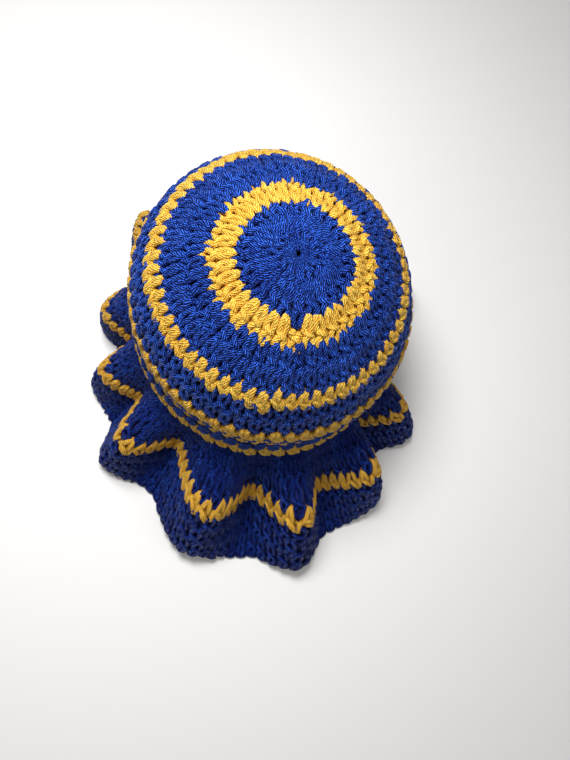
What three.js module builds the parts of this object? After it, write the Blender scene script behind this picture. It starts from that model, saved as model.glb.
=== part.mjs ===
// A crocheted bucket hat with a deeply ruffled brim, standing on the lower edge of its ruffles.
// It is worked in rounds from the middle of the crown outwards, in royal blue yarn with single rounds
// of golden yarn. Each run of rounds in one yarn is a closed wall of its own.
// Millimetres, +Z up. The origin is under the middle of the hat, on the surface that it stands on.
import * as THREE from "three";

// The crown
const CROWN_RADIUS = 87; // outside, where the crown is widest
const DOME_HEIGHT = 75; // from the widest place up to the middle of the crown
const SIDE_HEIGHT = 42; // from the widest place down to the brim
const SIDE_LEAN = 5.5; // how far the side stands off the middle of the crown
const SIDE_FLARE = 8; // how far the back of the side spreads out at the brim
const FABRIC = 4.4; // thickness of the crocheted fabric
const CENTRE_HOLE = 3.6; // across the hole in the first round's yarn ring

// The brim
const BRIM_DROP = 78; // from the crown's lower edge to the surface that the hat stands on
const BRIM_REACH = 96; // from the crown's side to the furthest ruffle's edge
const BRIM_SHORT = 0.34; // share of the drop by which the brim bends out at its start

// The stitches
const CENTRE_STITCH = 17; // height of a tall stitch in the two middle rounds
const TALL_STITCH = 14.6; // height of a tall stitch in the crown
const SIDE_STITCH = 13; // height of a half-tall stitch in the side
const SHORT_STITCH = 9.2; // height of a short stitch
const BRIM_STITCH = 15; // height of a tall stitch in the brim
const ROUND_GAP = 0.3; // between two runs of rounds

// How finely the walls are faceted
const CROWN_FACETS = 60; // one for each stitch of the side
const RUFFLE_FACETS = 5; // between a ruffle's crest and the hollow beside it

// Runs of rounds in one yarn, from the middle of the crown outwards
const CROWN_RUNS = [
  { name: "crown_centre", yarn: "blue", rounds: 2, stitch: CENTRE_STITCH },
  { name: "crown_gold_ring", yarn: "gold", rounds: 1, stitch: TALL_STITCH },
  { name: "crown_blue_band", yarn: "blue", rounds: 2, stitch: TALL_STITCH },
  { name: "shoulder_gold_ring", yarn: "gold", rounds: 1, stitch: SHORT_STITCH },
  { name: "shoulder_blue_band", yarn: "blue", rounds: 2, stitch: TALL_STITCH },
  { name: "side_gold_ring", yarn: "gold", rounds: 1, stitch: SHORT_STITCH },
  { name: "side_blue_band", yarn: "blue", rounds: 1, stitch: SIDE_STITCH },
  { name: "side_low_gold_ring", yarn: "gold", rounds: 1, stitch: SHORT_STITCH },
  { name: "side_low_blue_band", yarn: "blue", rounds: 1, stitch: SIDE_STITCH },
  { name: "base_gold_ring", yarn: "gold", rounds: 1, stitch: SHORT_STITCH },
];
const BRIM_RUNS = [
  { name: "brim_upper_band", yarn: "blue", rounds: 3, stitch: BRIM_STITCH },
  { name: "brim_gold_ring", yarn: "gold", rounds: 1, stitch: SHORT_STITCH },
  { name: "brim_lower_band", yarn: "blue", rounds: 3, stitch: BRIM_STITCH },
];

// Ruffles in order round the brim, in degrees from +X. A crest is followed by its hollow.
// Middle and edge are how far the brim's middle and edge stand out there, as shares of BRIM_REACH.
const RUFFLES = [
  { crest: -160, crestMiddle: 0.22, crestEdge: 0.26, hollow: -148, hollowMiddle: 0.02, hollowEdge: 0.12 },
  { crest: -137, crestMiddle: 0.28, crestEdge: 0.38, hollow: -123, hollowMiddle: 0.11, hollowEdge: 0.37 },
  { crest: -113, crestMiddle: 0.43, crestEdge: 0.62, hollow: -99, hollowMiddle: 0.14, hollowEdge: 0.54 },
  { crest: -81, crestMiddle: 0.54, crestEdge: 0.87, hollow: -66, hollowMiddle: 0.34, hollowEdge: 0.85 },
  { crest: -54, crestMiddle: 0.61, crestEdge: 0.99, hollow: -43, hollowMiddle: 0.41, hollowEdge: 0.83 },
  { crest: -28, crestMiddle: 0.53, crestEdge: 0.83, hollow: -17, hollowMiddle: 0.19, hollowEdge: 0.55 },
  { crest: -5, crestMiddle: 0.42, crestEdge: 0.71, hollow: 9, hollowMiddle: 0.11, hollowEdge: 0.4 },
  { crest: 21, crestMiddle: 0.27, crestEdge: 0.42, hollow: 34, hollowMiddle: 0.14, hollowEdge: 0.42 },
  { crest: 46, crestMiddle: 0.41, crestEdge: 0.63, hollow: 59, hollowMiddle: 0.16, hollowEdge: 0.52 },
  { crest: 71, crestMiddle: 0.51, crestEdge: 0.76, hollow: 84, hollowMiddle: 0.18, hollowEdge: 0.55 },
  { crest: 96, crestMiddle: 0.51, crestEdge: 0.76, hollow: 108, hollowMiddle: 0.16, hollowEdge: 0.52 },
  { crest: 120, crestMiddle: 0.45, crestEdge: 0.66, hollow: 131, hollowMiddle: 0.12, hollowEdge: 0.4 },
  { crest: 142, crestMiddle: 0.33, crestEdge: 0.47, hollow: 151, hollowMiddle: 0.08, hollowEdge: 0.25 },
  { crest: 160, crestMiddle: 0.29, crestEdge: 0.34, hollow: 181, hollowMiddle: 0.01, hollowEdge: 0.07 },
];
// How far the brim has fallen at its middle and its edge, as shares of BRIM_DROP. The further a crest
// stands out, the less it has fallen. A hollow's edge would fall past the surface, so it lies flat on it.
const FALL = {
  crestMiddle: (reach) => 0.55 - 0.58 * reach,
  crestEdge: (reach) => 1 - 0.22 * reach,
  hollowMiddle: (reach) => 0.56 + 0.2 * Math.max(reach, 0),
  hollowEdge: () => 1.05,
};

const FLARE_AZIMUTH = -50; // degrees, where the side spreads out most
const LEAN_AZIMUTH = -8; // degrees, where the side stands out most
const LEAN_POWER = 4; // the lean stays small near the middle of the crown
const BRIM_HALF = 0.5; // where the middle of the brim lies along it
const NORMAL_STEP = 1.5; // how far apart the points lie that give a wall's direction

const yarns = {
  blue: { color: 0x142c8c, roughness: 0.85, metalness: 0 },
  gold: { color: 0xe0a12c, roughness: 0.85, metalness: 0 },
};

const BASE_Z = BRIM_DROP;
const CROWN_TOP = BASE_Z + SIDE_HEIGHT + DOME_HEIGHT;
const RUFFLE_TURN = 360;
const middleRadius = CROWN_RADIUS - FABRIC / 2;
const domeMiddleHeight = DOME_HEIGHT - FABRIC / 2;

// The crown's section in the middle of its fabric: a quarter of an ellipse, then the side.
const section = new THREE.CurvePath();
section.add(new THREE.EllipseCurve(0, 0, middleRadius, domeMiddleHeight, Math.PI / 2, 0, true, 0));
section.add(
  new THREE.LineCurve(new THREE.Vector2(middleRadius, 0), new THREE.Vector2(middleRadius, -SIDE_HEIGHT)),
);
const crownLength = section.getLength();
const runLength = (runs) => runs.reduce((sum, run) => sum + run.rounds * run.stitch, 0);
const brimLength = runLength(BRIM_RUNS);

const radians = THREE.MathUtils.degToRad;
const ease = (share) => (1 - Math.cos(Math.PI * share)) / 2;

// How far the side spreads out at an azimuth: most at the back and not at all at the front.
function flareAt(azimuth) {
  const towardsBack = (1 + Math.cos(azimuth - radians(FLARE_AZIMUTH))) / 2;
  return SIDE_FLARE * towardsBack ** 3;
}

// The crests and hollows round the brim in order, each with how far its middle and edge stand out and fall.
function brimKnots() {
  return RUFFLES.flatMap((ruffle) =>
    ["crest", "hollow"].map((kind) => {
      const middle = ruffle[kind + "Middle"];
      const edge = ruffle[kind + "Edge"];
      return {
        azimuth: ruffle[kind],
        middleOut: BRIM_REACH * middle,
        edgeOut: BRIM_REACH * edge,
        middleFall: BRIM_DROP * FALL[kind + "Middle"](middle),
        edgeFall: BRIM_DROP * FALL[kind + "Edge"](edge),
      };
    }),
  );
}
const knots = brimKnots();

// The brim's middle and edge at an azimuth, eased between the crest and the hollow on either side of it.
function brimAt(azimuth) {
  const first = knots[0].azimuth;
  const degrees = first + THREE.MathUtils.euclideanModulo(THREE.MathUtils.radToDeg(azimuth) - first, RUFFLE_TURN);
  let index = knots.length - 1;
  while (knots[index].azimuth > degrees) index -= 1;
  const before = knots[index];
  const after = knots[(index + 1) % knots.length];
  const end = index + 1 < knots.length ? after.azimuth : after.azimuth + RUFFLE_TURN;
  const share = ease((degrees - before.azimuth) / (end - before.azimuth));
  const mixed = (key) => THREE.MathUtils.lerp(before[key], after[key], share);
  return {
    middleOut: mixed("middleOut"),
    edgeOut: mixed("edgeOut"),
    middleFall: mixed("middleFall"),
    edgeFall: mixed("edgeFall"),
  };
}

// A point round the hat's own axis, which leans away from under the middle of the crown.
function roundPoint(azimuth, radius, z) {
  const down = THREE.MathUtils.clamp((CROWN_TOP - z) / DOME_HEIGHT, 0, 1);
  const lean = SIDE_LEAN * down ** LEAN_POWER;
  return new THREE.Vector3(
    radius * Math.cos(azimuth) + lean * Math.cos(radians(LEAN_AZIMUTH)),
    radius * Math.sin(azimuth) + lean * Math.sin(radians(LEAN_AZIMUTH)),
    z,
  );
}

function crownPoint(azimuth, arc) {
  const at = section.getPointAt(THREE.MathUtils.clamp(arc / crownLength, 0, 1));
  const down = THREE.MathUtils.clamp(-at.y / SIDE_HEIGHT, 0, 1);
  return roundPoint(azimuth, at.x + flareAt(azimuth) * down ** 2, BASE_Z + SIDE_HEIGHT + at.y);
}

// A smooth curve out from the crown's side, through the brim's middle, to its edge.
function brimPoint(azimuth, share) {
  const base = middleRadius + flareAt(azimuth);
  const brim = brimAt(azimuth);
  const start = new THREE.Vector2(base, BASE_Z);
  const middle = new THREE.Vector2(middleRadius + brim.middleOut, BASE_Z - brim.middleFall);
  const edge = new THREE.Vector2(middleRadius + brim.edgeOut, BASE_Z - brim.edgeFall);
  const along = edge.clone().sub(start).multiplyScalar(0.5);
  const early = share < BRIM_HALF;
  const from = early ? start : middle;
  const to = early ? middle : edge;
  const leave = early ? new THREE.Vector2(0, -BRIM_DROP * BRIM_SHORT) : along;
  const arrive = early ? along : to.clone().sub(from);
  const t = early ? share / BRIM_HALF : (share - BRIM_HALF) / (1 - BRIM_HALF);
  const at = new THREE.Vector2()
    .addScaledVector(from, 2 * t ** 3 - 3 * t ** 2 + 1)
    .addScaledVector(leave, t ** 3 - 2 * t ** 2 + t)
    .addScaledVector(to, -2 * t ** 3 + 3 * t ** 2)
    .addScaledVector(arrive, t ** 3 - t ** 2);
  return roundPoint(azimuth, at.x, at.y);
}

// A point in the middle of the fabric, by its azimuth and its way out along the fabric.
function fabricPoint(azimuth, arc) {
  const beyond = (arc - crownLength) / brimLength;
  return beyond <= 0 ? crownPoint(azimuth, arc) : brimPoint(azimuth, Math.min(beyond, 1));
}

// The fabric's outward direction there.
function fabricNormal(azimuth, arc) {
  const end = crownLength + brimLength;
  const turn = NORMAL_STEP / middleRadius;
  const across = fabricPoint(azimuth + turn, arc).sub(fabricPoint(azimuth - turn, arc));
  const near = Math.max(arc - NORMAL_STEP, CENTRE_HOLE / 4);
  const along = fabricPoint(azimuth, Math.min(arc + NORMAL_STEP, end)).sub(fabricPoint(azimuth, near));
  return along.cross(across).normalize();
}

// Presses what would reach below the surface flat against it.
const rested = (point) => point.setZ(Math.max(point.z, 0));

// One run of rounds: a closed wall between two ways out along the fabric, with a row of facets a round.
function wall(azimuths, innerArc, outerArc, rounds) {
  const rows = rounds + 1;
  const columns = azimuths.length;
  const positions = [];
  for (const side of [1, -1]) {
    for (let row = 0; row < rows; row += 1) {
      const arc = THREE.MathUtils.lerp(innerArc, outerArc, row / rounds);
      for (const azimuth of azimuths) {
        const offset = fabricNormal(azimuth, arc).multiplyScalar((side * FABRIC) / 2);
        positions.push(...rested(fabricPoint(azimuth, arc).add(offset)).toArray());
      }
    }
  }
  const vertex = (side, row, column) => (side * rows + row) * columns + (column % columns);
  const faces = [];
  const quad = (a, b, c, d) => faces.push(a, b, c, a, c, d);
  for (let column = 0; column < columns; column += 1) {
    const next = column + 1;
    for (let row = 0; row < rounds; row += 1) {
      quad(vertex(0, row, column), vertex(0, row + 1, column), vertex(0, row + 1, next), vertex(0, row, next));
      quad(vertex(1, row, column), vertex(1, row, next), vertex(1, row + 1, next), vertex(1, row + 1, column));
    }
    quad(vertex(0, 0, column), vertex(0, 0, next), vertex(1, 0, next), vertex(1, 0, column));
    quad(vertex(0, rounds, column), vertex(1, rounds, column), vertex(1, rounds, next), vertex(0, rounds, next));
  }
  const geometry = new THREE.BufferGeometry();
  geometry.setAttribute("position", new THREE.Float32BufferAttribute(positions, 3));
  geometry.setIndex(faces);
  geometry.computeVertexNormals();
  return geometry;
}

// Lays runs of rounds side by side along the fabric, with a gap between each two.
function addRuns(group, runs, azimuths, startArc, endArc) {
  const worked = runLength(runs);
  let done = 0;
  for (const run of runs) {
    const from = THREE.MathUtils.mapLinear(done, 0, worked, startArc, endArc);
    done += run.rounds * run.stitch;
    const to = THREE.MathUtils.mapLinear(done, 0, worked, startArc, endArc);
    const geometry = wall(azimuths, from + ROUND_GAP / 2, to - ROUND_GAP / 2, run.rounds);
    const mesh = new THREE.Mesh(geometry, new THREE.MeshStandardMaterial(yarns[run.yarn]));
    mesh.name = run.name;
    group.add(mesh);
  }
}

const crownAzimuths = Array.from({ length: CROWN_FACETS }, (_, i) => (2 * Math.PI * i) / CROWN_FACETS);
// Facets meet at each crest and hollow, so that none of them is cut off.
const brimAzimuths = knots.flatMap((knot, i) => {
  const next = i + 1 < knots.length ? knots[i + 1].azimuth : knots[0].azimuth + RUFFLE_TURN;
  return Array.from({ length: RUFFLE_FACETS }, (_, step) =>
    radians(THREE.MathUtils.lerp(knot.azimuth, next, step / RUFFLE_FACETS)),
  );
});

const hat = new THREE.Group();
addRuns(hat, CROWN_RUNS, crownAzimuths, CENTRE_HOLE / 2, crownLength);
addRuns(hat, BRIM_RUNS, brimAzimuths, crownLength, crownLength + brimLength);

// The ruffles stand out further at the back, so the hat is moved until its middle is over the origin.
const extent = new THREE.Box3().setFromObject(hat);
const centre = extent.getCenter(new THREE.Vector3());
hat.position.set(-centre.x, -centre.y, -extent.min.z);

export default hat;
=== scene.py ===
"""A crocheted bucket hat, worked stitch by stitch in yarn over its packed walls."""

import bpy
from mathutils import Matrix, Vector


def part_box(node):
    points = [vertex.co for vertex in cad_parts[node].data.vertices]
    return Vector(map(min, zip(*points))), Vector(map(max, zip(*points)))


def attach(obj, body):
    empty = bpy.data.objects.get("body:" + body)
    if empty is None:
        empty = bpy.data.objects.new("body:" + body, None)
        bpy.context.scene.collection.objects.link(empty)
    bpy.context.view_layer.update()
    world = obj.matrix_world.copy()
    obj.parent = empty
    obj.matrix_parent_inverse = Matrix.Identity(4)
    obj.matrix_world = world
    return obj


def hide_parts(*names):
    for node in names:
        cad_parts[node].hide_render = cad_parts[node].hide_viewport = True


bl_info = {
    "name": "Crocheted Bucket Hat",
    "version": (1, 0, 0),
    "blender": (4, 5, 0),
    "location": "View3D > Sidebar > Crocheted Hat",
    "description": "Works a bucket hat with a ruffled brim, stitch by stitch, in two yarns",
    "category": "Add Mesh",
}

from collections import namedtuple

import bpy
import numpy as np
from mathutils import Matrix, Vector

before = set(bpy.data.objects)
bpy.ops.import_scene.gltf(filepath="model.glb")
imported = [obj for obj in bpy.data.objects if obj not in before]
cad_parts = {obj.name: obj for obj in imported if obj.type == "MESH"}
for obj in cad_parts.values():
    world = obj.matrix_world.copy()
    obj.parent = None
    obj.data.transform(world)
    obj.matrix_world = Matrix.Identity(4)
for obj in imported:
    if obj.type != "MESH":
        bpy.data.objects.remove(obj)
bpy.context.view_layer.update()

# The fabric's sizes, in metres, as the walls have them
CROWN_RADIUS = 0.087  # outside, where the crown is widest
DOME_HEIGHT = 0.075  # from the widest place up to the middle of the crown
SIDE_HEIGHT = 0.042  # from the widest place down to the brim
SIDE_LEAN = 0.0055  # how far the side stands off the middle of the crown
SIDE_FLARE = 0.008  # how far the back of the side spreads out at the brim
FABRIC = 0.0044  # thickness of the crocheted fabric
CENTRE_HOLE = 0.0036  # across the hole in the first round's yarn ring
BRIM_DROP = 0.078  # from the crown's lower edge to the surface that the hat stands on
BRIM_REACH = 0.096  # from the crown's side to the furthest ruffle's edge
BRIM_SHORT = 0.34  # share of the drop by which the brim bends out at its start
BRIM_HALF = 0.5  # where the middle of the brim lies along it
FLARE_AZIMUTH = np.radians(-50)  # where the side spreads out most
LEAN_AZIMUTH = np.radians(-8)  # where the side stands out most
LEAN_POWER = 4  # the lean stays small near the middle of the crown
CROWN_TOP = BRIM_DROP + SIDE_HEIGHT + DOME_HEIGHT
MIDDLE_RADIUS = CROWN_RADIUS - FABRIC / 2
MIDDLE_DOME = DOME_HEIGHT - FABRIC / 2

# The stitches' heights
CENTRE_STITCH = 0.017  # a tall stitch in the two middle rounds
TALL_STITCH = 0.0146  # a tall stitch in the crown
SIDE_STITCH = 0.013  # a half-tall stitch in the side
SHORT_STITCH = 0.0092  # a short stitch
BRIM_STITCH = 0.015  # a tall stitch in the brim

TURN = 2 * np.pi
MILLIMETRE = 0.001
CENTIMETRES = 100  # in a metre

# The tables of the dome's and the brim's lengths: how many points they are worked out from.
DOME_SAMPLES, RUFFLE_SAMPLES, ROW_SAMPLES, TURN_SAMPLES = 1201, 24, 36, 2049
# Over this much of the brim, stitches come to be spaced evenly along its ruffles.
EVEN_FROM = 0.02
# How far apart the points lie from which the fabric's direction is worked out.
NORMAL_STEP, EDGE_STEP = 0.0015, 0.002
# How far past the brim's edge yarn may reach.
PAST_EDGE = 0.004
# The fabric bends over this far above the surface, and over this height.
REST_HEIGHT, REST_BEND = 0.0012, 0.003
# How far above the surface the hat's yarn and the ground behind it stay.
YARN_LOWEST, GROUND_LOWEST = 0.0001, 0.0003

# A strand of yarn is a little flattened: its width and depth, as shares of a round strand's.
YARN_WIDTH, YARN_DEPTH = 1.08, 0.9
# A strand's radius: a fixed part, a share of its stitch's width there, and the least it may be.
THIN_RADIUS, RADIUS_SHARE, LEAST_RADIUS = 0.0003, 0.25, 0.0005
# How thick a strand's ends are, as a share of its thickness, and how fast it thickens towards its middle.
END_THICKNESS, TAPER = 0.24, 3.4
# The sides of a strand's tube and the points along a leg and any other strand, on the brim. The crown's
# and the side's strands have one side and two points more.
TUBE_SIDES, LEG_POINTS, STRAND_POINTS = 5, 7, 5
# How much stitches differ in height, in how far they stand out and in place, and strands in thickness.
HEIGHT_VARIES, STAND_VARIES, PLACE_VARIES, RADIUS_VARIES = 0.0003, 0.0002, 0.0004, 0.06
# How much lower a round's first stitch hangs at the join.
JOIN_DROP = 0.0018
# The crown's round with this many stitches has its join drawn as a notch, with its foot this far up.
NOTCHED_STITCHES, NOTCH_FOOT = 36, 0.34
# Painted shade on the brim: its yarn catches less light than the crown's, so its tone is lowered this far.
PAINTED_BRIM_SHADE = 1.3
# The ground behind the stitches: how far out of the fabric's middle its two faces lie, how many rows of
# points it has and how far it stays inside its round.
GROUND_FACES, GROUND_ROWS, GROUND_INSET = (-0.0002, -0.0013), 4, 0.00015
# The yarn's shader: how many plies it has, how much fibres disturb them, how much painted light the
# plies, the fibres and a millimetre out of the fabric catch, and how much painted shade there is.
PLIES, PLY_UNEVEN = 7.0, 0.5
PLY_LIGHT, FIBRE_LIGHT, DEPTH_LIGHT, SHADE = 0.9, 4.2, 0.55, 2.3
# The rounds near the crown's golden ring stray towards the middle: how far, at which azimuth in degrees,
# how far out along the fabric and over what width.
STRAY, STRAY_AZIMUTH, STRAY_ARC, STRAY_WIDTH = 0.003, 115, 0.041, 0.025

Run = namedtuple("Run", "piece yarn kind height counts")
Round = namedtuple("Round", "arc height dip stitches join")
Kind = namedtuple("Kind", "front back sway rise")

# Each run of rounds in one yarn: its piece, yarn, kind of stitch, the stitches' height and how many
# stitches each of its rounds has.
CROWN_RUNS = (
    Run("crown_centre", "blue", "tall", CENTRE_STITCH, (12, 24)),
    Run("crown_gold_ring", "gold", "tall", TALL_STITCH, (36,)),
    Run("crown_blue_band", "blue", "tall", TALL_STITCH, (48, 60)),
    Run("shoulder_gold_ring", "gold", "short", SHORT_STITCH, (60,)),
    Run("shoulder_blue_band", "blue", "tall", TALL_STITCH, (60, 60)),
    Run("side_gold_ring", "gold", "short", SHORT_STITCH, (60,)),
    Run("side_blue_band", "blue", "tall", SIDE_STITCH, (60,)),
    Run("side_low_gold_ring", "gold", "short", SHORT_STITCH, (60,)),
    Run("side_low_blue_band", "blue", "tall", SIDE_STITCH, (60,)),
    Run("base_gold_ring", "gold", "short", SHORT_STITCH, (60,)),
)
BRIM_RUNS = (
    Run("brim_upper_band", "blue", "tall", BRIM_STITCH, (140, 140, 140)),
    Run("brim_gold_ring", "gold", "small", SHORT_STITCH, (140,)),
    Run("brim_lower_band", "blue", "tall", BRIM_STITCH, (140, 140, 140)),
)
CROWN_PIECES = tuple(run.piece for run in CROWN_RUNS[:5])
SIDE_PIECES = tuple(run.piece for run in CROWN_RUNS[5:])
BRIM_PIECES = tuple(run.piece for run in BRIM_RUNS)

# The ruffles: azimuth in degrees, then how far the brim's middle and edge stand out, as shares of
# BRIM_REACH, for a crest and for the hollow after it.
RUFFLES = (
    (-160, 0.22, 0.26, -148, 0.02, 0.12),
    (-137, 0.28, 0.38, -123, 0.11, 0.37),
    (-113, 0.43, 0.62, -99, 0.14, 0.54),
    (-81, 0.54, 0.87, -66, 0.34, 0.85),
    (-54, 0.61, 0.99, -43, 0.41, 0.83),
    (-28, 0.53, 0.83, -17, 0.19, 0.55),
    (-5, 0.42, 0.71, 9, 0.11, 0.4),
    (21, 0.27, 0.42, 34, 0.14, 0.42),
    (46, 0.41, 0.63, 59, 0.16, 0.52),
    (71, 0.51, 0.76, 84, 0.18, 0.55),
    (96, 0.51, 0.76, 108, 0.16, 0.52),
    (120, 0.45, 0.66, 131, 0.12, 0.4),
    (142, 0.33, 0.47, 151, 0.08, 0.25),
    (160, 0.29, 0.34, 181, 0.01, 0.07),
)
FIRST_CREST = RUFFLES[0][0]
# How far the brim's middle and edge have fallen, as shares of BRIM_DROP: where it doesn't stand out, and
# what a whole BRIM_REACH adds. The further a crest stands out, the less it has fallen. A hollow's edge
# would fall past the surface, so it lies flat on it.
CREST_FALLS = ((0.55, -0.58), (1, -0.22))
HOLLOW_FALLS = ((0.56, 0.2), (1.05, 0))

# The strands of a stitch, from its foot out. Each point is how far across the stitch's width, how far
# along its height and how far out of the fabric, in millimetres, the yarn runs there.
TALL_FRONT = {
    "left_leg": (
        (0.0, -0.33, -0.9), (-0.04, -0.24, 2.1), (-0.14, -0.08, 2.5), (-0.29, 0.12, 1.9), (-0.24, 0.36, 1.6),
        (-0.08, 0.56, 1.3), (0.02, 0.7, -0.2),
    ),
    "right_leg": (
        (0.05, -0.31, -0.9), (0.08, -0.21, 2.1), (0.18, -0.06, 2.6), (0.3, 0.14, 2.0), (0.22, 0.38, 1.6),
        (0.12, 0.58, 1.4), (0.1, 0.72, -0.2),
    ),
    "wrap": (
        (-0.48, 0.24, -0.4), (-0.28, 0.38, 1.9), (0.04, 0.5, 2.5), (0.3, 0.6, 1.9), (0.5, 0.7, -0.4),
    ),
    "upper_left": (
        (0.1, 0.44, 0.2), (-0.14, 0.6, 2.0), (-0.32, 0.74, 1.8), (-0.27, 0.92, 1.5), (-0.1, 1.17, 0.9),
    ),
    "upper_right": (
        (0.26, 0.5, 0.2), (0.3, 0.66, 1.9), (0.22, 0.8, 1.9), (0.05, 0.98, 1.7), (-0.12, 1.19, 0.9),
    ),
    "chain": (
        (-0.54, 0.8, -0.2), (-0.26, 0.9, 0.9), (0.06, 0.97, 1.2), (0.34, 0.92, 0.9), (0.6, 0.82, -0.2),
    ),
}
SHORT_FRONT = {
    "left_leg": (
        (-0.1, -0.48, -0.4), (-0.13, -0.38, 1.8), (-0.17, -0.08, 2.4), (-0.2, 0.2, 2.1), (-0.28, 0.46, 1.6),
        (-0.42, 0.62, 0.0),
    ),
    "right_leg": (
        (0.1, -0.48, -0.4), (0.1, -0.38, 1.8), (0.09, -0.08, 2.5), (0.12, 0.22, 2.3), (0.2, 0.5, 1.8),
        (0.16, 0.8, 0.2),
    ),
    "wrap": ((-0.5, 0.2, -0.2), (-0.3, 0.38, 2.0), (0.0, 0.6, 2.6), (0.26, 0.88, 2.2), (0.4, 1.24, 0.2)),
    "under": ((-0.36, 0.52, 0.0), (-0.1, 0.74, 1.8), (0.14, 0.94, 2.0), (0.34, 1.1, 1.7), (0.44, 1.26, 0.2)),
    "beside": ((0.5, 0.22, 0.0), (0.4, 0.46, 1.9), (0.42, 0.74, 2.1), (0.5, 1.02, 1.8), (0.54, 1.26, 0.2)),
}
SMALL_FRONT = {
    "left_leg": (
        (-0.03, -0.6, -0.4), (-0.07, -0.46, 1.9), (-0.16, -0.12, 2.6), (-0.26, 0.2, 2.2), (-0.34, 0.44, 1.6),
        (-0.46, 0.6, 0.0),
    ),
    "right_leg": (
        (0.05, -0.57, -0.4), (0.09, -0.42, 1.9), (0.16, -0.08, 2.7), (0.18, 0.26, 2.3), (0.24, 0.52, 1.8),
        (0.2, 0.8, 0.2),
    ),
    "wrap": ((-0.5, 0.14, -0.2), (-0.3, 0.36, 2.1), (0.0, 0.6, 2.7), (0.22, 0.94, 2.4), (0.3, 1.44, 0.5)),
    "under": ((-0.4, 0.56, 0.0), (-0.14, 0.78, 1.9), (0.08, 0.98, 2.1), (0.24, 1.2, 2.0), (0.32, 1.48, 0.5)),
    "beside": ((0.54, 0.2, 0.0), (0.46, 0.46, 1.9), (0.42, 0.74, 2.2), (0.4, 1.08, 2.1), (0.34, 1.48, 0.5)),
}
EDGE_FRONT = {
    "edge": ((-0.6, 0.94, -1.2), (-0.4, 1.02, 0.9), (-0.06, 1.06, 1.5), (0.3, 1.04, 0.9), (0.6, 0.96, -1.2)),
}
TALL_BACK = {
    "post": ((0.1, 0.0, -0.6), (0.12, 0.2, -1.9), (-0.04, 0.6, -2.3), (0.0, 0.92, -0.8)),
    "bar": (
        (-0.54, 0.9, -1.0), (-0.3, 0.98, -2.3), (0.02, 0.95, -2.6), (0.32, 0.9, -2.3), (0.54, 0.94, -1.0),
    ),
}
SHORT_BACK = {
    "post": ((0.14, 0.0, -0.6), (0.1, 0.3, -2.0), (-0.04, 0.64, -2.0), (-0.08, 0.9, -0.8)),
    "bar": (
        (-0.54, 0.84, -1.0), (-0.3, 0.98, -2.3), (0.02, 0.94, -2.6), (0.32, 0.84, -2.3), (0.54, 0.9, -1.0),
    ),
}
# Each kind of stitch: its strands on the fabric's right side and wrong side, how much they sway as a
# share of its width, and how much higher the second stitch of a round stands, in metres.
KINDS = {
    "tall": Kind(TALL_FRONT, TALL_BACK, 0.04, 0.0007),
    "short": Kind(SHORT_FRONT, SHORT_BACK, 0.04, 0.0017),
    "small": Kind(SMALL_FRONT, SHORT_BACK, 0.06, 0.0007),
}
# How far out of the fabric a run's yarn stands, in metres, where it isn't level with its neighbours.
PROUD = {
    "shoulder_gold_ring": 0.0003,
    "side_gold_ring": 0.001,
    "side_blue_band": 0.0006,
    "side_low_gold_ring": -0.0006,
    "side_low_blue_band": 0.0006,
    "brim_gold_ring": 0.0005,
}
# Where each round is joined, as its azimuth in degrees, from the crown's middle out.
JOINS = (-60, -64, -66, -70) + (-73, -76) * 4 + (-73,) + (-75, -73.7) * 3 + (-75,)

# The camera: its lens in millimetres, where it stands from the top of the crown, and its axes.
CAMERA_LENS = 29.585
CAMERA_PLACE = Vector((-0.02305, -0.13324, 0.29449))
CAMERA_RIGHT = Vector((0.89357, 0.38972, 0.2228))
CAMERA_UP = Vector((-0.42666, 0.89162, 0.15155))
# The lights aim this far below the top of the crown. Each has its place from there, its size and its power.
AIM_DROP = 0.04
LIGHTS = (
    ("key_light", (-0.17, 0.04, 0.42), 0.2, 4.3),
    ("fill_light", (0.8, -0.1, 0.9), 0.9, 2.4),
    ("back_light", (-0.6, -0.9, 0.8), 0.8, 2.0),
)
WORLD_COLOUR, WORLD_STRENGTH = (1.0, 0.98, 0.95, 1), 0.2
FLOOR_HALF = 3  # half the floor's width


def ease(share):
    return (1 - np.cos(np.pi * share)) / 2


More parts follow.
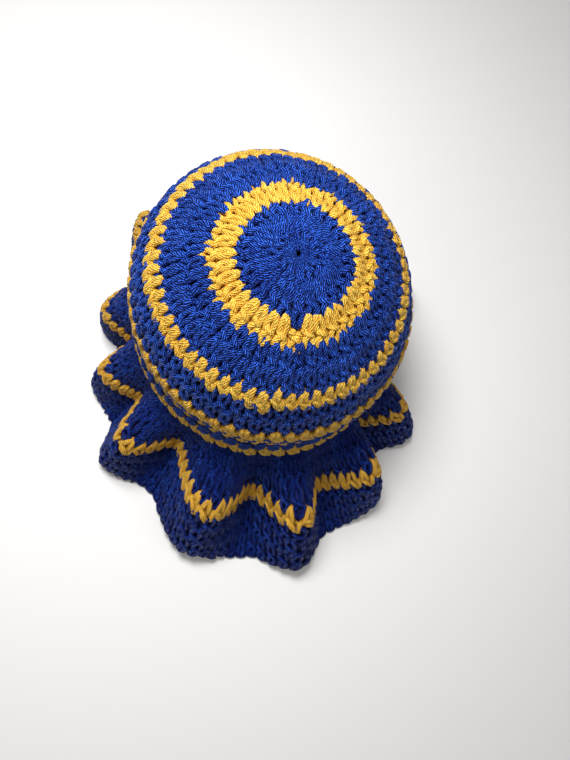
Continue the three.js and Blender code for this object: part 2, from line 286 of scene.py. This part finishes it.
class Fabric:
    """The middle of the hat's fabric, by azimuth and by the way out along it from the crown's middle."""

    def __init__(self):
        quarter = np.linspace(0, TURN / 4, DOME_SAMPLES)
        self.radius = MIDDLE_RADIUS * np.sin(quarter)
        self.height = MIDDLE_DOME * np.cos(quarter)
        steps = np.hypot(np.diff(self.radius), np.diff(self.height))
        self.arc = np.concatenate(([0], np.cumsum(steps)))
        self.dome = self.arc[-1]
        self.crown = self.dome + SIDE_HEIGHT
        self.brim = sum(run.height * len(run.counts) for run in BRIM_RUNS)
        self.end = self.crown + self.brim
        self.knots = self.ruffle_knots()
        low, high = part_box("crown_centre")
        self.axis = np.array([(low.x + high.x) / 2, (low.y + high.y) / 2, 0])
        self.spread = self.even_stitches()

    @staticmethod
    def ruffle_knots():
        """The azimuth of each crest and hollow, and how far the brim stands out and has fallen there."""
        rows = []
        for crest, crest_middle, crest_edge, hollow, hollow_middle, hollow_edge in RUFFLES:
            for azimuth, reaches, falls in (
                (crest, (crest_middle, crest_edge), CREST_FALLS),
                (hollow, (hollow_middle, hollow_edge), HOLLOW_FALLS),
            ):
                fallen = tuple(least + more * reach for (least, more), reach in zip(falls, reaches))
                rows.append((np.radians(azimuth),) + reaches + fallen)
        rows.append((rows[0][0] + TURN,) + rows[0][1:])
        return np.array(rows)

    def flare(self, azimuth):
        """How far the side spreads out at the brim."""
        return SIDE_FLARE * ((1 + np.cos(azimuth - FLARE_AZIMUTH)) / 2) ** 3

    def ruffle(self, azimuth):
        """How far the brim's middle and edge stand out and have fallen, between a crest and a hollow."""
        first = self.knots[0, 0]
        azimuth = first + np.mod(azimuth - first, TURN)
        index = np.searchsorted(self.knots[:, 0], azimuth, side="right") - 1
        index = np.clip(index, 0, len(self.knots) - 2)
        before, after = self.knots[index], self.knots[index + 1]
        share = ease((azimuth - before[..., 0]) / (after[..., 0] - before[..., 0]))[..., None]
        return before[..., 1:] * (1 - share) + after[..., 1:] * share

    def point(self, azimuth, arc):
        """Where the middle of the fabric lies. It bends to lie on the surface rather than reach below it."""
        azimuth, arc = np.broadcast_arrays(azimuth, arc)
        along = np.clip(arc, 0, self.crown)
        on_dome = np.minimum(along, self.dome)
        down = (along - on_dome) / SIDE_HEIGHT
        flare = self.flare(azimuth)
        crown_r = np.interp(on_dome, self.arc, self.radius) + flare * down**2
        crown_z = BRIM_DROP + SIDE_HEIGHT * (1 - down) + np.interp(on_dome, self.arc, self.height)
        share = np.clip((arc - self.crown) / self.brim, 0, 1)
        ruffle = self.ruffle(azimuth)
        start = np.stack((MIDDLE_RADIUS + flare, np.full_like(flare, BRIM_DROP)), -1)
        reach, height = MIDDLE_RADIUS + BRIM_REACH * ruffle[..., :2], BRIM_DROP * (1 - ruffle[..., 2:])
        middle = np.stack((reach[..., 0], height[..., 0]), -1)
        edge = np.stack((reach[..., 1], height[..., 1]), -1)
        sweep = (edge - start) * BRIM_HALF
        early = (share < BRIM_HALF)[..., None]
        leave = np.where(early, np.array([0, -BRIM_DROP * BRIM_SHORT]), sweep)
        near, far = np.where(early, start, middle), np.where(early, middle, edge)
        arrive = np.where(early, sweep, far - near)
        t = (np.where(share < BRIM_HALF, share, share - BRIM_HALF) / BRIM_HALF)[..., None]
        at = near * (2 * t**3 - 3 * t**2 + 1) + leave * (t**3 - 2 * t**2 + t)
        at = at + far * (3 * t**2 - 2 * t**3) + arrive * (t**3 - t**2)
        on_brim = arc > self.crown
        r = np.where(on_brim, at[..., 0], crown_r)
        z = np.where(on_brim, at[..., 1], crown_z)
        lean = SIDE_LEAN * np.clip((CROWN_TOP - z) / DOME_HEIGHT, 0, 1) ** LEAN_POWER
        above = z - REST_HEIGHT
        z = REST_HEIGHT + (above + np.sqrt(above**2 + REST_BEND**2)) / 2
        x = r * np.cos(azimuth) + lean * np.cos(LEAN_AZIMUTH)
        y = r * np.sin(azimuth) + lean * np.sin(LEAN_AZIMUTH)
        return np.stack((x, y, z), -1) + self.axis

    def normal(self, azimuth, arc):
        """Which way is out of the fabric."""
        turn = NORMAL_STEP / MIDDLE_RADIUS
        across = self.point(azimuth + turn, arc) - self.point(azimuth - turn, arc)
        near, far = np.maximum(arc - NORMAL_STEP, CENTRE_HOLE / 4), np.minimum(arc + NORMAL_STEP, self.end)
        outward = np.cross(self.point(azimuth, far) - self.point(azimuth, near), across)
        return outward / np.linalg.norm(outward, axis=-1, keepdims=True)

    def even_stitches(self):
        """For rows along the brim, the azimuths that space stitches evenly over each side of a ruffle."""
        azimuths = np.concatenate([
            np.linspace(a, b, RUFFLE_SAMPLES, endpoint=False)
            for a, b in zip(self.knots[:-1, 0], self.knots[1:, 0])
        ] + [self.knots[-1:, 0]])
        self.rows = np.linspace(self.crown, self.end, ROW_SAMPLES)
        self.shares = np.linspace(0, 1, TURN_SAMPLES)
        knot_shares = (self.knots[:, 0] - self.knots[0, 0]) / TURN
        table = []
        for row in self.rows:
            ring = self.point(azimuths, row)
            length = np.concatenate(([0], np.cumsum(np.linalg.norm(np.diff(ring, axis=0), axis=1))))
            even = np.interp(length, length[::RUFFLE_SAMPLES], knot_shares)
            weight = min(1, (row - self.crown) / EVEN_FROM)
            plain = (azimuths - azimuths[0]) / TURN
            table.append(np.interp(self.shares, even * weight + plain * (1 - weight), azimuths))
        return np.array(table)

    def azimuth(self, turn, arc):
        """The azimuth at a share of a turn round the hat, with stitches kept even along the ruffles."""
        turn, arc = np.broadcast_arrays(turn, arc)
        whole = np.floor(turn)
        column = (turn - whole) * (len(self.shares) - 1)
        row = np.clip((arc - self.crown) / self.brim, 0, 1) * (len(self.rows) - 1)
        i = np.minimum(row.astype(int), len(self.rows) - 2)
        j = np.minimum(column.astype(int), len(self.shares) - 2)
        fi, fj = row - i, column - j
        table = self.spread
        inner = table[i, j] * (1 - fj) + table[i, j + 1] * fj
        outer = table[i + 1, j] * (1 - fj) + table[i + 1, j + 1] * fj
        return inner * (1 - fi) + outer * fi + TURN * whole

    def lay(self, turn, arc, lift):
        """Where a point of yarn lies, and which way is out of the fabric there."""
        arc = np.clip(arc, CENTRE_HOLE / 2, self.end + PAST_EDGE)
        azimuth = self.azimuth(turn, arc)
        beyond = np.maximum(arc - self.end, 0)[..., None]
        held = np.minimum(arc, self.end)
        place, outward = self.point(azimuth, held), self.normal(azimuth, held)
        onward = self.point(azimuth, self.end) - self.point(azimuth, self.end - EDGE_STEP)
        onward = onward / np.linalg.norm(onward, axis=-1, keepdims=True)
        place = place + beyond * onward + lift[..., None] * outward
        return place, outward


def through(points, count):
    """A smooth curve through a strand's points, at even steps."""
    p = np.array(points, float)
    p = np.vstack((2 * p[0] - p[1], p, 2 * p[-1] - p[-2]))
    at = np.linspace(0, len(points) - 1, count)
    i = np.minimum(at.astype(int), len(points) - 2)
    t = (at - i)[:, None]
    a, b, c, d = p[i], p[i + 1], p[i + 2], p[i + 3]
    return 0.5 * (2 * b + (c - a) * t + (2 * a - 5 * b + 4 * c - d) * t**2 + (3 * b - a - 3 * c + d) * t**3)


class YarnMesh:
    """Gathers closed tubes of yarn and strips of the ground behind them into one mesh."""

    def __init__(self):
        self.vertices, self.loops, self.totals = [], [], []
        self.yarn_map, self.stitch_map, self.slots = [], [], []
        self.count = 0

    def add(self, vertices, faces, yarn, stitch, slot):
        """Adds faces of one kind, with their places on the yarn and in the stitch."""
        self.vertices.append(vertices)
        self.loops.append((faces + self.count).ravel())
        self.totals.append(np.full(len(faces), faces.shape[1]))
        self.yarn_map.append(yarn.reshape(-1, 2))
        self.stitch_map.append(stitch.reshape(-1, 2))
        self.slots.append(np.full(len(faces), slot))
        self.count += len(vertices)

    def tubes(self, centres, outward, radius, sides, tone_and_brim_shade, height):
        """One closed tube along each row of centres. Height is how far out of the fabric each one lies."""
        strands, points = centres.shape[:2]
        along = np.gradient(centres, axis=1)
        step = np.linalg.norm(np.diff(centres, axis=1), axis=2)
        length = np.concatenate((np.zeros((strands, 1)), np.cumsum(step, axis=1)), axis=1)
        along /= np.linalg.norm(along, axis=2, keepdims=True)
        side = np.cross(along, outward)
        side /= np.linalg.norm(side, axis=2, keepdims=True)
        up = np.cross(side, along)
        angle = TURN * np.arange(sides) / sides
        width, depth = YARN_WIDTH * np.cos(angle), YARN_DEPTH * np.sin(angle)
        ring = width[:, None] * side[:, :, None] + depth[:, None] * up[:, :, None]
        vertices = centres[:, :, None] + radius[..., None, None] * ring
        vertices = vertices.reshape(-1, 3)
        vertices[:, 2] = np.maximum(vertices[:, 2], YARN_LOWEST)
        first = (np.arange(strands) * points * sides)[:, None, None]
        row = (np.arange(points - 1) * sides)[None, :, None]
        column = np.arange(sides)[None, None, :]
        after = (column + 1) % sides
        a, b = first + row + column, first + row + after
        faces = np.stack((a, a + sides, b + sides, b), -1).reshape(-1, 4)
        u = length[:, :, None] * CENTIMETRES
        v = np.arange(sides + 1)[None, None, :] / sides
        near = np.broadcast_to(u[:, :-1], (strands, points - 1, sides))
        far = np.broadcast_to(u[:, 1:], (strands, points - 1, sides))
        low = np.broadcast_to(v[..., :-1], near.shape)
        high = np.broadcast_to(v[..., 1:], near.shape)
        yarn = np.stack((near, low, far, low, far, high, near, high), -1)
        tones_and_brim_shade = np.broadcast_to(tone_and_brim_shade[:, None, None], near.shape)
        height = np.broadcast_to(height, (strands, points))
        here = np.broadcast_to(height[:, :-1, None], near.shape)
        there = np.broadcast_to(height[:, 1:, None], near.shape)
        stitch = np.stack((tones_and_brim_shade, here, tones_and_brim_shade, there, tones_and_brim_shade, there, tones_and_brim_shade, here), -1)
        self.add(vertices, faces, yarn, stitch, 0)
        ends = []
        for end, order in ((0, np.arange(sides)), (points - 1, np.arange(sides)[::-1])):
            ends.append(first[:, 0] + end * sides + order[None, :])
        caps = np.concatenate(ends)
        self.loops.append((caps + self.count - len(vertices)).ravel())
        self.totals.append(np.full(len(caps), sides))
        self.yarn_map.append(np.zeros((caps.size, 2)))
        self.stitch_map.append(np.stack((np.repeat(np.tile(tone_and_brim_shade, 2), sides), np.zeros(caps.size)), -1))
        self.slots.append(np.zeros(len(caps), int))

    def build(self, name, materials):
        """Makes one object of all that was gathered."""
        vertices = np.concatenate(self.vertices)
        loops = np.concatenate(self.loops)
        totals = np.concatenate(self.totals)
        mesh = bpy.data.meshes.new(name)
        mesh.vertices.add(len(vertices))
        mesh.vertices.foreach_set("co", vertices.ravel())
        mesh.loops.add(len(loops))
        mesh.loops.foreach_set("vertex_index", loops.astype(np.int32))
        mesh.polygons.add(len(totals))
        starts = np.concatenate(([0], np.cumsum(totals)[:-1]))
        mesh.polygons.foreach_set("loop_start", starts.astype(np.int32))
        mesh.polygons.foreach_set("material_index", np.concatenate(self.slots).astype(np.int32))
        mesh.polygons.foreach_set("use_smooth", np.ones(len(totals), bool))
        for title, values in (("Yarn", self.yarn_map), ("Stitch", self.stitch_map)):
            layer = mesh.uv_layers.new(name=title)
            layer.uv.foreach_set("vector", np.concatenate(values).astype(np.float32).ravel())
        for material in materials:
            mesh.materials.append(material)
        mesh.update()
        mesh.validate()
        piece = bpy.data.objects.new(name, mesh)
        bpy.context.scene.collection.objects.link(piece)
        return piece


# Materials
class Shade:
    """A socket in a shader, so that shader maths can be written as an expression."""

    def __init__(self, nodes, socket):
        self.nodes, self.socket = nodes, socket

    def maths(self, operation, *values):
        return self.nodes.make("ShaderNodeMath", {"operation": operation}, dict(enumerate(values)))

    def __add__(self, other):
        return self.maths("ADD", self, other)

    def __sub__(self, other):
        return self.maths("SUBTRACT", self, other)

    def __rsub__(self, other):
        return self.maths("SUBTRACT", other, self)

    def __mul__(self, other):
        return self.maths("MULTIPLY", self, other)

    def sine(self):
        return self.maths("SINE", self)

    def limited(self):
        return self.maths("MAXIMUM", self.maths("MINIMUM", self, 1.0), 0.0)

    __radd__ = __add__
    __rmul__ = __mul__


class Shader:
    """Makes nodes in one material."""

    def __init__(self, name):
        self.material = bpy.data.materials.new(name)
        self.material.use_nodes = True
        self.tree = self.material.node_tree
        self.surface = self.tree.nodes["Principled BSDF"]

    def make(self, kind, settings=None, sockets=None, output=0):
        """Adds a node with its settings, and the values or links of its sockets."""
        node = self.tree.nodes.new(kind)
        for key, value in (settings or {}).items():
            setattr(node, key, value)
        for key, value in (sockets or {}).items():
            self.join(node.inputs[key], value)
        return Shade(self, node.outputs[output])

    def join(self, socket, value):
        if isinstance(value, Shade):
            self.tree.links.new(value.socket, socket)
        else:
            socket.default_value = value

    def set(self, **values):
        for key, value in values.items():
            self.join(self.surface.inputs[key.replace("_", " ")], value)

    def parts(self, vector):
        node = self.make("ShaderNodeSeparateXYZ", None, {0: vector}).socket.node
        return [Shade(self, node.outputs[i]) for i in range(3)]

    def mix(self, factor, a, b):
        """Mixes two colours, which are sockets 6 and 7 of a Mix node, and its output 2."""
        return self.make("ShaderNodeMix", {"data_type": "RGBA"}, {0: factor, 6: a, 7: b}, 2)


def yarn_material(name, colours, twist, sheen):
    """Plies twisted round each other and fluffed by loose fibres, with painted shade darker the deeper they
    lie in a stitch.
    """
    nodes = Shader(name)
    length, angle, _ = nodes.parts(nodes.make("ShaderNodeUVMap", {"uv_map": "Yarn"}))
    tone_and_brim_shade, height, _ = nodes.parts(nodes.make("ShaderNodeUVMap", {"uv_map": "Stitch"}))
    # Fibres lie along the plies, and each stitch's random tone gives it fibres of its own.
    across = nodes.make("ShaderNodeCombineXYZ", None, {
        0: length * 1.9 + tone_and_brim_shade * 40.0,
        1: angle * 6.0 + length * twist * 0.7,
        2: tone_and_brim_shade * 9.0,
    })
    fibres = nodes.make("ShaderNodeTexNoise", {"noise_dimensions": "3D"},
                        {"Vector": across, "Scale": 5.0, "Detail": 3.5, "Roughness": 0.75})
    ply = ((length * twist + angle * PLIES + fibres * PLY_UNEVEN) * TURN).sine() * 0.5 + 0.5
    # Painted light and shade: the colour is lighter on crests, on the side that faces out of the fabric and
    # on what stands out of it, and darker between plies, on the side that faces in and deep in a stitch.
    crest = ply * PLY_LIGHT + fibres * FIBRE_LIGHT - SHADE
    painted_facing_shade = (angle * TURN).sine() * 0.45 + 0.75
    light = (crest * painted_facing_shade * (height * DEPTH_LIGHT).limited()).limited()
    # Painted shade: the dark colour where little painted light falls, the yarn's body where more does.
    lower = nodes.mix((light * 1.9).limited(), colours.dark, colours.body)
    # Each stitch is a little lighter or darker at random, and the brim's is darker still as painted shade.
    stitch_tone_and_brim_shade = (tone_and_brim_shade - 0.5) * 0.5
    # Painted highlight: the light colour where most painted light falls.
    colour = nodes.mix((light * 2.3 - 0.95 + stitch_tone_and_brim_shade).limited(), lower, colours.light)
    bump = nodes.make("ShaderNodeBump", None,
                      {"Strength": 1.0, "Distance": 0.0014, "Height": ply * 0.6 + fibres * 0.8})
    nodes.set(Base_Color=colour, Roughness=0.5, Specular_IOR_Level=0.15, Normal=bump)
    nodes.set(Sheen_Weight=sheen, Sheen_Roughness=0.4, Sheen_Tint=colours.light)
    return nodes.material


def ground_material(name, colours):
    """The fabric behind the stitches, in painted shade: the yarn's dark colour mixed into its body."""
    nodes = Shader(name)
    place = nodes.make("ShaderNodeTexCoord", output="Object")
    fibres = nodes.make("ShaderNodeTexNoise", None, {"Vector": place, "Scale": 900.0, "Detail": 2.0})
    colour = nodes.mix(fibres * 1.1 - 0.1, colours.dark, colours.body)
    bump = nodes.make("ShaderNodeBump", None, {"Strength": 0.6, "Distance": 0.0004, "Height": fibres})
    nodes.set(Base_Color=colour, Roughness=0.95, Normal=bump)
    return nodes.material


# Settings
def colour_property(name, description, default):
    return bpy.props.FloatVectorProperty(
        name=name, description=description, default=default + (1.0,), size=4, subtype="COLOR", min=0, max=1)


class HatBlueYarn(bpy.types.PropertyGroup):
    """The blue yarn's colours: a painted highlight, the yarn's body and a painted shade."""

    light: colour_property("Light", "Where light catches the plies", (0.048, 0.19, 1.0))
    body: colour_property("Body", "The yarn itself", (0.0012, 0.018, 0.24))
    dark: colour_property("Dark", "Between the plies", (0.0003, 0.0012, 0.022))


class HatGoldYarn(bpy.types.PropertyGroup):
    """The golden yarn's colours: a painted highlight, the yarn's body and a painted shade."""

    light: colour_property("Light", "Where light catches the plies", (1.0, 0.84, 0.18))
    body: colour_property("Body", "The yarn itself", (1.0, 0.61, 0.08))
    dark: colour_property("Dark", "Between the plies", (0.82, 0.34, 0.02))


class HatSettings(bpy.types.PropertyGroup):
    """What a maker would change in the hat's looks."""

    thickness: bpy.props.FloatProperty(
        name="Yarn thickness", description="Across one strand of yarn", default=0.0034, min=0.001, max=0.006,
        subtype="DISTANCE", unit="LENGTH")
    unevenness: bpy.props.FloatProperty(
        name="Unevenness", description="How much stitches differ from each other", default=1.0, min=0, max=3)
    twist: bpy.props.FloatProperty(
        name="Twist", description="Plies that cross each centimetre of yarn", default=4.5, min=0, max=12)
    sheen: bpy.props.FloatProperty(
        name="Sheen", description="How much the fibres glow at grazing angles", default=0.02, min=0, max=1)
    blue: bpy.props.PointerProperty(type=HatBlueYarn, name="Blue yarn", description="Most of the rounds")
    gold: bpy.props.PointerProperty(type=HatGoldYarn, name="Golden yarn", description="The single rounds")


def plan_rounds(fabric):
    """Each run with its rounds, from the crown's middle out. The crown's are scaled to fill its walls."""
    crown_total = sum(run.height * len(run.counts) for run in CROWN_RUNS)
    arc = CENTRE_HOLE / 2
    scale = (fabric.crown - arc) / crown_total
    plan, joins, before = [], iter(JOINS), CENTRE_STITCH
    for runs, factor in ((CROWN_RUNS, scale), (BRIM_RUNS, 1.0)):
        for run in runs:
            rounds = []
            for stitches in run.counts:
                dip = min(before / run.height, 1)
                join = (next(joins) - FIRST_CREST) / 360
                rounds.append(Round(arc, run.height * factor, dip, stitches, join))
                arc += run.height * factor
                before = run.height
            plan.append((run, rounds))
    return plan


def crochet(piece_names, seed):
    """Works the named runs of rounds, each as one piece."""
    fabric = Fabric()
    rng = np.random.default_rng(seed)
    for run, rounds in plan_rounds(fabric):
        if run.piece not in piece_names:
            continue
        mesh = YarnMesh()
        for worked in rounds:
            work_round(mesh, fabric, rng, run, worked)
            ground(mesh, fabric, worked)
        materials = [bpy.data.materials["crocheted_" + run.yarn], bpy.data.materials["behind_" + run.yarn]]
        piece = mesh.build(run.piece + "_stitches", materials)
        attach(piece, "root")
        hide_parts(run.piece)
        run.yarn + "_yarn"


def wander(fabric, turn, arc):
    """How far the rounds near the crown's golden ring stray towards its middle on one side."""
    away = np.cos(fabric.azimuth(turn, arc) - np.radians(STRAY_AZIMUTH))
    return -STRAY * np.exp(-(((arc - STRAY_ARC) / STRAY_WIDTH) ** 2)) * np.maximum(away, 0)


def work_round(mesh, fabric, rng, run, worked):
    """One round of stitches. Their feet reach into the round before, less far where it is a low one."""
    settings = bpy.context.scene.crocheted_hat
    uneven = settings.unevenness
    kind = KINDS[run.kind]
    arc, height, dip, stitches, join = worked
    brim = run.piece in BRIM_PIECES
    centre = np.arange(stitches) / stitches + join
    # Each stitch's tone differs at random; on the brim it is lowered further as painted shade.
    tone_and_brim_shade = rng.random(stitches) - (PAINTED_BRIM_SHADE if brim else 0)
    lower = rng.normal(0, HEIGHT_VARIES * uneven, stitches)
    lower[0] += JOIN_DROP
    lower[1] -= kind.rise
    proud = rng.normal(0, STAND_VARIES * uneven, stitches) + PROUD.get(run.piece, 0)
    front = kind.front
    if arc + height > fabric.end - MILLIMETRE:
        front = {**front, **EDGE_FRONT}
    for strands, outside in ((front, True), (kind.back, False)):
        for title, points in strands.items():
            sides, count = TUBE_SIDES, LEG_POINTS if title.endswith("leg") else STRAND_POINTS
            if not brim:
                sides, count = sides + 1, count + 2
            line = through(points, count)
            share = np.linspace(0, 1, count)
            sway = rng.normal(0, kind.sway * uneven, (stitches, 2))
            across = line[:, 0] + sway[:, :1] * (1 - share) + sway[:, 1:] * share
            turn = centre[:, None] + across / stitches
            up = np.where(line[:, 1] < 0, line[:, 1] * dip, line[:, 1])
            rows = np.repeat(up[None, :], stitches, axis=0)
            if stitches == NOTCHED_STITCHES:
                rows[0] = np.maximum(rows[0], NOTCH_FOOT)
            along = arc + rows * height + lower[:, None]
            along = along + rng.normal(0, PLACE_VARIES * uneven, (stitches, 1))
            along = along + wander(fabric, turn, along)
            lift = line[:, 2] * MILLIMETRE + proud[:, None] * outside
            place, outward = fabric.lay(turn, along, lift)
            beside, _ = fabric.lay(turn + 0.5 / stitches, along, lift)
            pitch = 2 * np.linalg.norm(beside - place, axis=2)
            radius = np.clip(THIN_RADIUS + RADIUS_SHARE * pitch, LEAST_RADIUS, settings.thickness / 2)
            taper = np.clip(np.minimum(share, 1 - share) * TAPER + END_THICKNESS, 0, 1)
            radius = radius * taper * (1 + rng.normal(0, RADIUS_VARIES, (stitches, 1)))
            face = 1 if outside else -1
            mesh.tubes(place, face * outward, radius, sides, tone_and_brim_shade, face * line[:, 2])


def ground(mesh, fabric, worked):
    """A thin closed strip behind a round, so that no light passes between its stitches."""
    columns, rows = worked.stitches * 2, GROUND_ROWS
    turn = np.arange(columns) / columns + worked.join
    along = np.linspace(worked.arc + GROUND_INSET, worked.arc + worked.height - GROUND_INSET, rows)
    sides = []
    for lift in GROUND_FACES:
        place, _ = fabric.lay(turn[None, :], along[:, None], np.full((rows, columns), lift))
        place[..., 2] = np.maximum(place[..., 2], GROUND_LOWEST)
        sides.append(place.reshape(-1, 3))

    def quads(*corners):
        """A ring of four-sided faces. Each corner has its side, its row and how many columns on it lies."""
        column = np.arange(columns)
        return np.stack([side * rows * columns + row * columns + (column + on) % columns
                         for side, row, on in corners], -1)

    faces = []
    for row in range(rows - 1):
        faces.append(quads((0, row, 0), (0, row + 1, 0), (0, row + 1, 1), (0, row, 1)))
        faces.append(quads((1, row, 0), (1, row, 1), (1, row + 1, 1), (1, row + 1, 0)))
    last = rows - 1
    faces.append(quads((0, 0, 0), (0, 0, 1), (1, 0, 1), (1, 0, 0)))
    faces.append(quads((0, last, 0), (1, last, 0), (1, last, 1), (0, last, 1)))
    faces = np.concatenate(faces)
    blank = np.zeros((faces.size, 2))
    mesh.add(np.concatenate(sides), faces, blank, blank, 1)


# Operators
class HAT_OT_yarns(bpy.types.Operator):
    """Dye the two yarns"""

    bl_idname = "crocheted_hat.yarns"
    bl_label = "Yarns"

    def execute(self, context):
        settings = context.scene.crocheted_hat
        for name in ("blue", "gold"):
            colours = getattr(settings, name)
            yarn_material("crocheted_" + name, colours, settings.twist, settings.sheen)
            ground_material("behind_" + name, colours)
        return {"FINISHED"}


class HAT_OT_crown(bpy.types.Operator):
    """Work the crown from its middle to its shoulder"""

    bl_idname = "crocheted_hat.crown"
    bl_label = "Crown"

    def execute(self, context):
        crochet(CROWN_PIECES, seed=11)
        return {"FINISHED"}


class HAT_OT_side(bpy.types.Operator):
    """Work the hat's side, down to the brim"""

    bl_idname = "crocheted_hat.side"
    bl_label = "Side"

    def execute(self, context):
        crochet(SIDE_PIECES, seed=23)
        return {"FINISHED"}


class HAT_OT_brim(bpy.types.Operator):
    """Work the ruffled brim"""

    bl_idname = "crocheted_hat.brim"
    bl_label = "Brim"

    def execute(self, context):
        crochet(BRIM_PIECES, seed=37)
        return {"FINISHED"}


class HAT_OT_stage(bpy.types.Operator):
    """Set the pale floor, the studio lights and the camera"""

    bl_idname = "crocheted_hat.stage"
    bl_label = "Stage"

    def execute(self, context):
        scene = context.scene
        low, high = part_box("crown_centre")
        top = Vector(((low.x + high.x) / 2, (low.y + high.y) / 2, CROWN_TOP))
        camera = bpy.data.cameras.new("camera")
        camera.lens = CAMERA_LENS
        camera.sensor_width = 36
        camera.clip_start = 0.01
        eye = bpy.data.objects.new("camera", camera)
        axes = (CAMERA_RIGHT, CAMERA_UP, CAMERA_RIGHT.cross(CAMERA_UP))
        eye.matrix_world = Matrix.Translation(top + CAMERA_PLACE) @ Matrix(axes).transposed().to_4x4()
        scene.collection.objects.link(eye)
        scene.camera = eye

        floor_mesh = bpy.data.meshes.new("floor")
        corners = [(x * FLOOR_HALF, y * FLOOR_HALF, 0) for x, y in ((-1, -1), (1, -1), (1, 1), (-1, 1))]
        floor_mesh.from_pydata(corners, [], [(0, 1, 2, 3)])
        floor = bpy.data.objects.new("floor", floor_mesh)
        nodes = Shader("pale_floor")
        nodes.set(Base_Color=(0.8, 0.79, 0.78, 1), Roughness=0.8)
        floor_mesh.materials.append(nodes.material)
        scene.collection.objects.link(floor)

        aim = top + Vector((0.0, 0.0, -AIM_DROP))
        for name, offset, size, power in LIGHTS:
            lamp = bpy.data.lights.new(name, "AREA")
            lamp.shape = "DISK"
            lamp.size = size
            lamp.energy = power
            holder = bpy.data.objects.new(name, lamp)
            holder.location = aim + Vector(offset)
            holder.rotation_euler = (aim - holder.location).to_track_quat("-Z", "Y").to_euler()
            scene.collection.objects.link(holder)
        world = bpy.data.worlds.new("studio")
        world.use_nodes = True
        background = world.node_tree.nodes["Background"]
        background.inputs["Color"].default_value = WORLD_COLOUR
        background.inputs["Strength"].default_value = WORLD_STRENGTH
        scene.world = world
        scene.view_settings.view_transform = "Standard"
        return {"FINISHED"}


class HAT_PT_panel(bpy.types.Panel):
    """Lists the hat's parts"""

    bl_idname = "HAT_PT_panel"
    bl_label = "Crocheted Hat"
    bl_space_type = "VIEW_3D"
    bl_region_type = "UI"
    bl_category = "Crocheted Hat"

    def draw(self, context):
        settings = context.scene.crocheted_hat
        for key in ("thickness", "unevenness", "twist", "sheen"):
            self.layout.prop(settings, key)
        for yarn in (settings.blue, settings.gold):
            for key in ("light", "body", "dark"):
                self.layout.prop(yarn, key)
        for operator in OPERATORS:
            self.layout.operator(operator.bl_idname)


OPERATORS = (HAT_OT_stage, HAT_OT_yarns, HAT_OT_crown, HAT_OT_side, HAT_OT_brim)
CLASSES = (HatBlueYarn, HatGoldYarn, HatSettings) + OPERATORS + (HAT_PT_panel,)


def register():
    for cls in CLASSES:
        bpy.utils.register_class(cls)
    bpy.types.Scene.crocheted_hat = bpy.props.PointerProperty(type=HatSettings)


def unregister():
    del bpy.types.Scene.crocheted_hat
    for cls in reversed(CLASSES):
        bpy.utils.unregister_class(cls)


def main():
    register()
    bpy.ops.crocheted_hat.stage()
    bpy.ops.crocheted_hat.yarns()
    bpy.ops.crocheted_hat.crown()
    bpy.ops.crocheted_hat.side()
    bpy.ops.crocheted_hat.brim()


if __name__ == "__main__":
    main()
